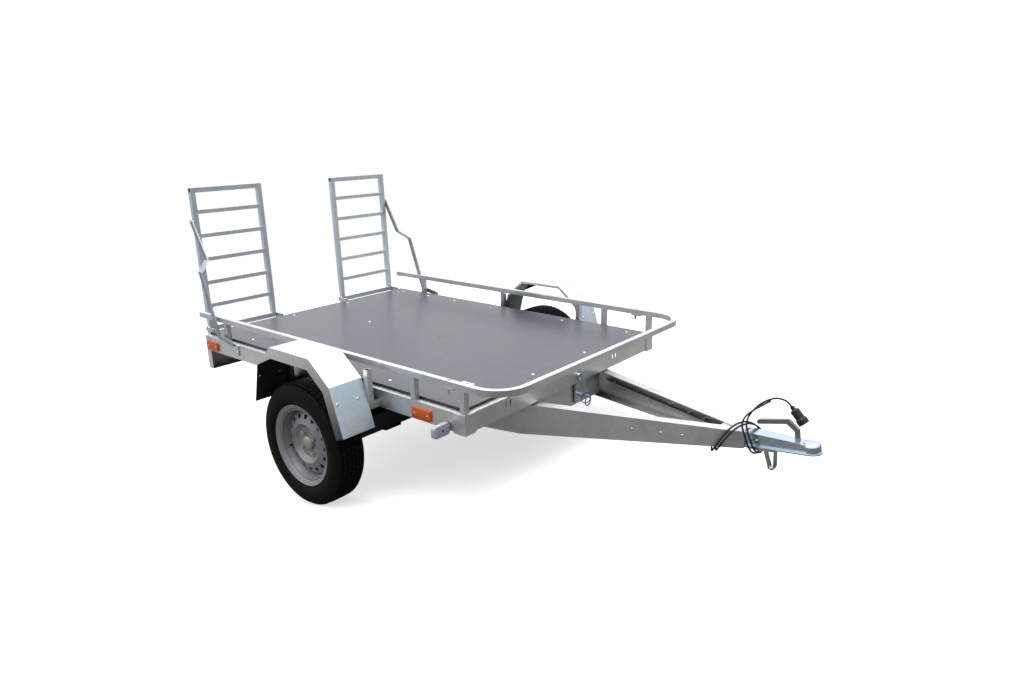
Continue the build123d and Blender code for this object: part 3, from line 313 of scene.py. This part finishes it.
galvanised = zinc("galvanised steel", "D6D7D7", "DFE0E0", 0.4, 0.9)
dress(
    [
        "drawbar_arm_right", "drawbar_arm_left", "drawbar_cross_member", "side_beam_right", "side_beam_left",
        "front_beam", "rear_beam", "side_rail_right", "side_rail_left", "front_rail", "rail_posts",
        "corner_plates", "marker_arms", "rear_lamp_board", "rail_eye", "mudguard_stays", "stay_brackets",
        "ramp_lugs",
    ],
    galvanised,
)
clean_zinc = zinc("ramp zinc", "E0E4EA", "E8ECF2", 0.38, 0.9, corner_shade_level=0.75)
dress(["ramp_right", "ramp_left"], clean_zinc)
stay_zinc = zinc("stay zinc", "A6A6AC", "B2B2B8", 0.4, 0.9)
dress(["ramp_stay_right", "ramp_stay_left"], stay_zinc)
dress(
    [
        "nose_tube", "axle_tube", "axle_clamps", "suspension_arms", "bed_cross_members", "pivot_lugs",
        "lock_tab",
    ],
    galvanised,
)


# Mudguards: folded zinc-coated sheet, bolted to stays from the side beams, with painted shade inside.
# Their darker lower sides and pale blue front slopes, mirrored ground and sky in the photograph,
# are painted in.
wheel_plane = 843.0
side_low, side_high = 0.33, 0.72
side_shade, side_light = 0.1, 1.1
inside_shade = 0.12
side_facing, front_facing = 0.7, 0.8
# Pale blue of the front slopes' painted sky reflection.
sky_reflection = (1.12, 1.26, 1.38)
guard_zinc = zinc("mudguard zinc", "D8D9D9", "DFE0E0", 0.42, 0.9, wheel_shade=0.32)
tree = guard_zinc.node_tree
skin = next(node for node in tree.nodes if node.type == "BSDF_PRINCIPLED")
guard_base = skin.inputs["Base Color"].links[0].from_socket
coords = add(tree, "ShaderNodeTexCoord").outputs
spot = add(tree, "ShaderNodeSeparateXYZ", {0: coords["Object"]}).outputs
facing = add(tree, "ShaderNodeSeparateXYZ", {0: coords["Normal"]}).outputs


def maths(operation, first, second=0.0):
    """One sum in the mudguards' material."""
    return add(tree, "ShaderNodeMath", {0: first, 1: second}, operation=operation).outputs[0]


# Painted shade: faces turned towards the wheel, inside the guard, are darkened.
outwards = maths("MULTIPLY", facing["Y"], maths("SIGN", spot["Y"]))
beyond = maths("SUBTRACT", maths("ABSOLUTE", spot["Y"]), wheel_plane / 1000)
from_hub = maths("MULTIPLY", facing["X"], maths("SUBTRACT", spot["X"], hub_at.x))
from_hub = maths("ADD", from_hub, maths("MULTIPLY", facing["Z"], maths("SUBTRACT", spot["Z"], hub_at.z)))
from_hub = maths("ADD", from_hub, maths("MULTIPLY", outwards, beyond))
outside = maths("GREATER_THAN", from_hub, 0.0)
wheel_shade = add(tree, "ShaderNodeMapRange", {"Value": outside, "To Min": inside_shade, "To Max": 1.0}).outputs[0]
# Painted reflection of the ground: side faces darker towards the bottom.
side = maths("GREATER_THAN", maths("ABSOLUTE", facing["Y"]), side_facing)
fall = add(tree, "ShaderNodeMapRange", {"Value": spot["Z"], "From Min": side_low, "From Max": side_high,
                                        "To Min": side_shade, "To Max": side_light}).outputs[0]
level = add(tree, "ShaderNodeMix", {"Factor": side, "A": 1.0, "B": fall}, data_type="FLOAT").outputs["Result"]
shade = maths("MULTIPLY", wheel_shade, level)
guard_shaded = add(tree, "ShaderNodeVectorMath", {0: guard_base, 1: shade}, operation="MULTIPLY").outputs[0]
# Painted reflection of the sky: front slopes tinted pale blue.
front = maths("GREATER_THAN", facing["X"], front_facing)
sky_lit = add(tree, "ShaderNodeVectorMath", {0: guard_shaded, 1: sky_reflection}, operation="MULTIPLY").outputs[0]
lit_and_shaded = add(tree, "ShaderNodeMix", {"Factor": front, "A": guard_shaded, "B": sky_lit}, data_type="RGBA")
tree.links.new(lit_and_shaded.outputs["Result"], skin.inputs["Base Color"])
dress(["mudguard_right", "mudguard_left"], guard_zinc, rounding=0.0006, smooth=20.0)


# Fixings: screws, rivets and bolts, all set by one node group that stands a head of given
# size on each point of a mesh, turned along the point's own outward way. Heads are zinc plated.
def group_inputs(tree, sockets):
    """Gives a node group its named inputs and a geometry output; returns the input node."""
    for name, kind in sockets:
        tree.interface.new_socket(name=name, in_out="INPUT", socket_type=kind)
    tree.interface.new_socket(name="Geometry", in_out="OUTPUT", socket_type="NodeSocketGeometry")
    return add(tree, "NodeGroupInput").outputs


def run_group(piece, tree, values):
    """Runs a node group on a piece with its inputs set by name, then keeps the result as a plain mesh."""
    mod = piece.modifiers.new(tree.name, "NODES")
    mod.node_group = tree
    for item in tree.interface.items_tree:
        if item.in_out == "INPUT" and item.name in values:
            mod[item.identifier] = values[item.name]
    result = piece.evaluated_get(bpy.context.evaluated_depsgraph_get())
    mesh = bpy.data.meshes.new_from_object(result)
    piece.modifiers.clear()
    piece.data = mesh
    mesh.name = piece.name


def put(name, mesh, body):
    """Adds a finished mesh as a piece that rides on a body."""
    made = bpy.data.objects.new(name, mesh)
    bpy.context.scene.collection.objects.link(made)
    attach(made, body)
    return made


heads = bpy.data.node_groups.new("fixings", "GeometryNodeTree")
given = group_inputs(heads, [
    ("Geometry", "NodeSocketGeometry"), ("Sides", "NodeSocketInt"), ("Radius", "NodeSocketFloat"),
    ("Crown", "NodeSocketFloat"), ("Height", "NodeSocketFloat"), ("Material", "NodeSocketMaterial"),
])
head = add(heads, "GeometryNodeMeshCone", {
    "Vertices": given["Sides"], "Radius Top": given["Crown"], "Radius Bottom": given["Radius"],
    "Depth": given["Height"],
})
way = add(heads, "GeometryNodeInputNamedAttribute", {"Name": "way"}, data_type="FLOAT_VECTOR")
turn = add(heads, "FunctionNodeAlignRotationToVector", {"Vector": way.outputs["Attribute"]}, axis="Z")
stood = add(heads, "GeometryNodeInstanceOnPoints", {
    "Points": given["Geometry"], "Instance": head.outputs["Mesh"], "Rotation": turn.outputs["Rotation"],
})
solid = add(heads, "GeometryNodeRealizeInstances", {"Geometry": stood.outputs["Instances"]})
painted = add(heads, "GeometryNodeSetMaterial", {
    "Geometry": solid.outputs["Geometry"], "Material": given["Material"],
})
add(heads, "NodeGroupOutput", {"Geometry": painted.outputs["Geometry"]})


def fixings(name, body, finish, rows, sides, radius, height, crown=0.75, pair=True):
    """Heads at rows of (level place, outward way), in millimetres, and at their mirror places if pair."""
    if pair:
        rows = list(rows) + [((x, -y, z), (u, -v, w)) for (x, y, z), (u, v, w) in rows]
    mesh = bpy.data.meshes.new(name)
    mesh.from_pydata([parked @ Vector(spot) for spot, _ in rows], [], [])
    ways = mesh.attributes.new("way", "FLOAT_VECTOR", "POINT")
    for item, (_, way) in zip(ways.data, rows):
        item.vector = (parked.to_3x3() @ Vector(way)).normalized()
    made = put(name, mesh, body)
    run_group(made, heads, {"Sides": sides, "Radius": radius / 1000, "Crown": crown * radius / 1000,
                            "Height": height / 1000, "Material": finish})
    return made


bright_zinc = zinc("bright zinc", "CAD8E6", "D4E2F0", 0.24, 0.95, corner_shade_level=0.7)
yellow_zinc = zinc("yellow zinc", "D8CFA8", "E6DEBC", 0.35, 0.6)

# Bolts through the mudguards' front slopes and rear flaps, and pop rivets along both arms' webs.
# All are small round heads of zinc-plated steel.
slope_way = (0.95, 0.0, 0.315)
flap_way = (0.968, 0.0, -0.249)
fixings("mudguard_bolts", "bed", bright_zinc, [
    ((305.5, -922, 537), slope_way), ((306.5, -819, 534), slope_way),
    ((-237.0, -822, 543), flap_way), ((-236.0, -924, 547), flap_way),
], 12, 7.0, 4.0)
fixings("arm_rivets", "chassis", bright_zinc, [
    ((1202, -165.9, 412), (0.31, -0.95, 0)), ((1311, -129.8, 412), (0.31, -0.95, 0)),
    ((1391, -103.4, 412), (0.31, -0.95, 0)),
], 12, 5.0, 1.5)

# Bolts of the ramp stays' brackets: two hexagon heads on the side beam at each bracket,
# zinc plated like the other fixings.
fixings("bracket_bolts", "bed", bright_zinc, [
    ((-812, -720, 508), (0, -1, 0)), ((-768, -720, 508), (0, -1, 0)),
], 6, 8.0, 5.0, crown=0.9)

# Rail joints: a clip plate of galvanised steel under the two tubes' ends on each side,
# drawn up by a bolt with its head on top and a long nut below.
rail_top = 666.0
rail_line = 701.5
joint_x = 716.0
rail_tube = 25.0
clip_gap = 0.2
clip_size = (52.0, 29.0, 7.0)
clip_top = rail_top - rail_tube - clip_gap
bolt_x = joint_x - 8
for side, end in ((-1, "right"), (1, "left")):
    mesh = bpy.data.meshes.new("rail_clip_" + end)
    shape = bmesh.new()
    bmesh.ops.create_cube(shape, size=1.0)
    bmesh.ops.scale(shape, vec=clip_size, verts=shape.verts)
    centre = (joint_x, side * rail_line, clip_top - clip_size[2] / 2)
    bmesh.ops.translate(shape, vec=centre, verts=shape.verts)
    bmesh.ops.transform(shape, matrix=parked, verts=shape.verts)
    shape.to_mesh(mesh)
    shape.free()
    mesh.materials.append(galvanised)
    put("rail_clip_" + end, mesh, "bed")
fixings("rail_bolts", "bed", bright_zinc,
        [((bolt_x, -rail_line, rail_top), (0, 0, 1))], 12, 8.5, 5.0)
fixings("rail_nuts", "bed", bright_zinc,
        [((bolt_x, -rail_line, clip_top - clip_size[2]), (0, 0, -1))], 6, 8.0, 24.0, crown=0.6)


# Coupling, foot and pins: pressed and bent steel, bright zinc plated and bolted to the nose tube.
# The coupling's handle is duller.
dark_zinc = zinc("dull zinc", "8E9194", "9A9DA0", 0.32, 0.85)
plated = ["coupling_body", "coupling_bolts", "parking_foot", "lock_pin", "pivot_pins", "cable_clips"]
dress(plated, bright_zinc)
dress(["coupling_handle"], dark_zinc)


# Deck: birch plywood faced with a grey-brown phenolic film, its sawn edge sealed black,
# screwed down to the frame along its sides and its two middle members.
deck_top = 557.0
top_facing = 0.7
deck_film, tree, skin, place = material("film plywood", Roughness=0.3)
colour, grain = mottle(tree, place, 0.06, "46434A", "4B484F")
normal = add(tree, "ShaderNodeTexCoord").outputs["Normal"]
facing = add(tree, "ShaderNodeSeparateXYZ", {0: normal}).outputs["Z"]
top = add(tree, "ShaderNodeMath", {0: facing, 1: top_facing}, operation="GREATER_THAN").outputs[0]
shade = add(tree, "ShaderNodeMix", {"Factor": top, "A": linear("0C0C0D"), "B": colour}, data_type="RGBA")
tree.links.new(shade.outputs["Result"], skin.inputs["Base Color"])
bump(tree, skin, grain, 0.04, 0.001)
dress(["deck"], deck_film)
side_screws = [(x, -630) for x in (-1000, -765, -532, -235, 27, 288, 700)]
end_screws = [(727, -200), (-1032, -195)]
fixings("deck_screws", "bed", yellow_zinc,
        [((x, y, deck_top), (0, 0, 1)) for x, y in side_screws + end_screws], 16, 7.5, 1.5)
fixings("deck_middle_screws", "bed", yellow_zinc,
        [((x, -30, deck_top), (0, 0, 1)) for x in (-556, -8)], 16, 7.5, 1.5, pair=False)


# Wheels: silver-painted steel rims on zinc hubs, held by four bolts each.
# A rubber valve stem leans out of each rim.
rim_paint, tree, skin, place = material("wheel paint", Metallic=0.35, Roughness=0.36)
colour, grain = mottle(tree, place, 0.002, "838486", "8D8E90")
tree.links.new(colour, skin.inputs["Base Color"])
dress(["rim_right", "rim_left"], rim_paint)
hub_zinc, tree, skin, place = material("hub zinc", Metallic=0.55, Roughness=0.42)
colour, grain = mottle(tree, place, 0.004, "A19D95", "ABA79F")
tree.links.new(colour, skin.inputs["Base Color"])
dress(["hub_right", "hub_left"], hub_zinc)
wheel_bolt_circle = 50.0
wheel_bolt_face = 21.3
wheel_bolt_angles = (124, 34, -56, -146)
valve_angle = -161
valve_from, valve_to = (148.0, 17.0), (124.0, 42.0)
for side, end in ((-1, "right"), (1, "left")):
    bolts = []
    for angle in wheel_bolt_angles:
        x = wheel_bolt_circle * math.cos(math.radians(angle))
        z = wheel_z + wheel_bolt_circle * math.sin(math.radians(angle))
        bolts.append(((x, side * (wheel_plane + wheel_bolt_face), z), (0, side, 0)))
    fixings("wheel_bolts_" + end, "wheel_" + end, hub_zinc, bolts, 6, 10.5, 13.0,
            crown=0.85, pair=False)
    spots = []
    for radius, out in (valve_from, valve_to):
        x = radius * math.cos(math.radians(valve_angle))
        z = wheel_z + radius * math.sin(math.radians(valve_angle))
        spots.append(Vector((x, side * (wheel_plane + out), z)))
    stem = spots[1] - spots[0]
    fixings("valve_" + end, "wheel_" + end, cable_rubber, [(spots[0], stem)],
            12, 5.5, stem.length, crown=0.75, pair=False)


# Tyres: black road tyres, each a lathed carcass with five rings of tread blocks round it.
# A thin dark ring behind each wheel disc stands for the shaded hollow behind the vents,
# and two rolled beads run round the rim's flange.
tyre_radius = 277.0
tread_depth = 8.0
shade_section = ((17.6, 136.2), (28.6, 108.2), (28.2, 108.0), (17.2, 136.0))
bead_rings = ((61.0, 177.0, 2.6), (51.0, 160.0, 3.2))
tyre_section = (
    (0.0, 269.0), (40.0, 268.5), (52.0, 267.5), (55.0, 272.0), (59.0, 270.5), (64.0, 266.5), (69.0, 259.0),
    (73.5, 248.0), (76.5, 236.0), (77.8, 225.0), (77.4, 214.0), (75.2, 204.0), (72.6, 199.0), (71.8, 196.0),
    (69.6, 194.5), (67.2, 191.5), (65.0, 188.0), (62.5, 186.5), (52.0, 167.5), (42.0, 164.2), (56.0, 195.0),
    (64.0, 225.0), (58.0, 250.0), (46.0, 259.0), (0.0, 261.0),
)
tread_rows = ((0.0, 15.0, 0.0), (-19.5, 16.0, 0.5), (19.5, 16.0, 0.5), (-42.0, 20.0, 0.2), (42.0, 20.0, 0.2))
tread_blocks = 56
block_share = 0.84
block_sink = 1.0
shoulder_from, shoulder_drop = 40, 1.5
ring_steps = 64
tyre_steps = 96
tyre_rubber, tree, skin, place = material("tyre rubber", Roughness=0.7, Specular_IOR_Level=0.12)
colour, grain = mottle(tree, place, 0.006, "0A0A07", "10100C")
tree.links.new(colour, skin.inputs["Base Color"])
bump(tree, skin, grain, 0.12, 0.0005)

tread = bpy.data.node_groups.new("tread ring", "GeometryNodeTree")
given = group_inputs(tread, [
    ("Geometry", "NodeSocketGeometry"), ("Count", "NodeSocketInt"), ("Radius", "NodeSocketFloat"),
    ("Block", "NodeSocketVector"), ("Place", "NodeSocketVector"), ("Turn", "NodeSocketVector"),
    ("Material", "NodeSocketMaterial"),
])
ring = add(tread, "GeometryNodeCurvePrimitiveCircle", {
    "Resolution": given["Count"], "Radius": given["Radius"],
})
spots = add(tread, "GeometryNodeCurveToPoints", {"Curve": ring.outputs["Curve"]}, mode="EVALUATED")
outward = add(tread, "GeometryNodeInputPosition")
turned = add(tread, "FunctionNodeAlignRotationToVector", {"Vector": outward.outputs[0]},
             axis="X", pivot_axis="Z")
block = add(tread, "GeometryNodeMeshCube", {"Size": given["Block"]})
stood = add(tread, "GeometryNodeInstanceOnPoints", {
    "Points": spots.outputs["Points"], "Instance": block.outputs["Mesh"],
    "Rotation": turned.outputs["Rotation"],
})
solid = add(tread, "GeometryNodeRealizeInstances", {"Geometry": stood.outputs["Instances"]})
moved = add(tread, "GeometryNodeTransform", {
    "Geometry": solid.outputs["Geometry"], "Translation": given["Place"], "Rotation": given["Turn"],
})
painted = add(tread, "GeometryNodeSetMaterial", {
    "Geometry": moved.outputs["Geometry"], "Material": given["Material"],
})
joined = add(tread, "GeometryNodeJoinGeometry", {"Geometry": given["Geometry"]})
tread.links.new(painted.outputs["Geometry"], joined.inputs["Geometry"])
add(tread, "NodeGroupOutput", {"Geometry": joined.outputs["Geometry"]})


def lathe(name, section, steps, centre, axis):
    """A ring of the closed section of (along, radius) in millimetres, turned about a parked axis."""
    grid = []
    for step in range(steps):
        angle = 2 * math.pi * step / steps
        grid += [(r * math.cos(angle) / 1000, r * math.sin(angle) / 1000, a / 1000) for a, r in section]
    count = len(section)
    faces = []
    for step in range(steps):
        here, there = step * count, (step + 1) % steps * count
        for i in range(count):
            j = (i + 1) % count
            faces.append((here + i, here + j, there + j, there + i))
    mesh = bpy.data.meshes.new(name)
    mesh.from_pydata(grid, [], faces)
    mesh.transform(Matrix.Translation(centre) @ Vector(axis).to_track_quat("Z", "Y").to_matrix().to_4x4())
    mesh.shade_smooth()
    return mesh


closed_section = tyre_section + tuple((-a, r) for a, r in tyre_section[-2:0:-1])
block_length = 2 * math.pi * tyre_radius / tread_blocks * block_share
for side, end in ((-1, "right"), (1, "left")):
    centre = joint_at["wheel_" + end + "_spin"]
    carcass = lathe("road_tyre_" + end, closed_section, tyre_steps, (0, 0, 0), (0, 0, 1))
    tyre = put("road_tyre_" + end, carcass, "wheel_" + end)
    tyre.data.materials.append(tyre_rubber)
    for along, width, stagger in tread_rows:
        drop = shoulder_drop if abs(along) > shoulder_from else 0.0
        run_group(tyre, tread, {
            "Count": tread_blocks, "Radius": (tyre_radius - drop - tread_depth / 2 - block_sink) / 1000,
            "Block": ((tread_depth + 2 * block_sink) / 1000, block_length / 1000, width / 1000),
            "Place": (0.0, 0.0, along / 1000), "Turn": (0.0, 0.0, stagger * 2 * math.pi / tread_blocks),
            "Material": tyre_rubber,
        })
    upright = Vector((0, side, 0)).to_track_quat("Z", "Y").to_matrix().to_4x4()
    tyre.data.transform(Matrix.Translation(centre) @ upright)
    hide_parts("tyre_" + end)
    hollow = lathe("vent_shade_" + end, shade_section, ring_steps, centre, (0, side, 0))
    shade = put("vent_shade_" + end, hollow, "wheel_" + end)
    shade.data.materials.append(tyre_rubber)
    for number, (along, radius, size) in enumerate(bead_rings):
        angles = [turn * math.pi / 4 for turn in range(8)]
        section = [(along + size * math.cos(angle), radius + size * math.sin(angle)) for angle in angles]
        name = f"rim_bead_{end}_{number + 1}"
        rolled = lathe(name, section, ring_steps, centre, (0, side, 0))
        bead = put(name, rolled, "wheel_" + end)
        bead.data.materials.append(rim_paint)


# Lamps: amber side reflectors, red tail lamps and grey marker lamps, all moulded plastic,
# with the black plug of the lamp cable.
def plastic(name, dark, light, roughness, grain_size=0.003):
    """Moulded plastic of one colour with a fine grain."""
    made, tree, skin, place = material(name, Roughness=roughness)
    colour, grain = mottle(tree, place, grain_size, dark, light)
    tree.links.new(colour, skin.inputs["Base Color"])
    bump(tree, skin, grain, 0.08, 0.0003)
    return made


amber = plastic("amber plastic", "BC5004", "C85C06", 0.38)
red = plastic("red plastic", "9C0E10", "AE1416", 0.2)
grey_plastic = plastic("grey plastic", "A3A1AA", "ADABB4", 0.4)
black_plastic = plastic("black plastic", "101011", "19191B", 0.45)
dress(["side_reflectors"], amber, rounding=0.002)
dress(["tail_lamps"], red, rounding=0.004)
dress(["marker_lamps"], grey_plastic, rounding=0.003)
dress(["plug"], black_plastic)
dress(["lamp_cable"], cable_rubber)
reflector_face = 723.0
reflector_x = (-1017, 568)
reflector_z = 497
screw_shifts = (-36, 36)
reflector_screws = [((x + shift, -reflector_face, reflector_z), (0, -1, 0))
                    for x in reflector_x for shift in screw_shifts]
fixings("reflector_screws", "bed", bright_zinc, reflector_screws, 12, 4.0, 1.2)
fixings("marker_plugs", "bed", black_plastic, [((724, -757, 479), (1, 0, 0))],
        14, 5.0, 0.8, crown=0.9)


# Bed lock: a stud with a nut on the front beam, a steel wire loop from it that keeps the pin
# from being lost, and a blue ring of plastic-coated wire through the pin's end.
wire_size = 4.5
wire_bends = ((806, 34, 505), (816, 30, 490), (828, 42, 456), (836, 58, 420), (838, 62, 414), (834, 60, 440),
              (822, 54, 480), (812, 44, 500), (806, 34, 505))
ring_centre, ring_radius, ring_size = (836, 52, 398), 26.0, 4.5
ring_lean = 0.35
blue_plastic = plastic("blue plastic", "24379C", "3048B4", 0.35)
fixings("lock_stud", "bed", bright_zinc, [((800, 34, 505), (1, 0, 0))], 6, 11.0, 14.0,
        crown=0.9, pair=False)


def wire(name, spots, size, finish):
    """A stiff wire along level points, in millimetres, kept as a plain mesh."""
    curve = bpy.data.curves.new(name, "CURVE")
    curve.dimensions = "3D"
    curve.bevel_depth = size / 2000
    curve.bevel_resolution = 2
    line = curve.splines.new("NURBS")
    line.points.add(len(spots) - 1)
    for point, spot in zip(line.points, spots):
        point.co = (*(parked @ Vector(spot)), 1)
    line.order_u = 3
    line.use_endpoint_u = True
    bent = bpy.data.objects.new(name + "_line", curve)
    mesh = bpy.data.meshes.new_from_object(bent)
    bpy.data.objects.remove(bent)
    mesh.materials.append(finish)
    mesh.shade_smooth()
    mesh.name = name
    return put(name, mesh, "bed")


wire("lock_wire", wire_bends, wire_size, bright_zinc)
circle = [(ring_centre[0] + ring_lean * ring_radius * math.cos(turn * math.pi / 8),
           ring_centre[1] + ring_radius * math.cos(turn * math.pi / 8),
           ring_centre[2] + ring_radius * math.sin(turn * math.pi / 8)) for turn in range(17)]
wire("lock_ring", circle, ring_size, blue_plastic)
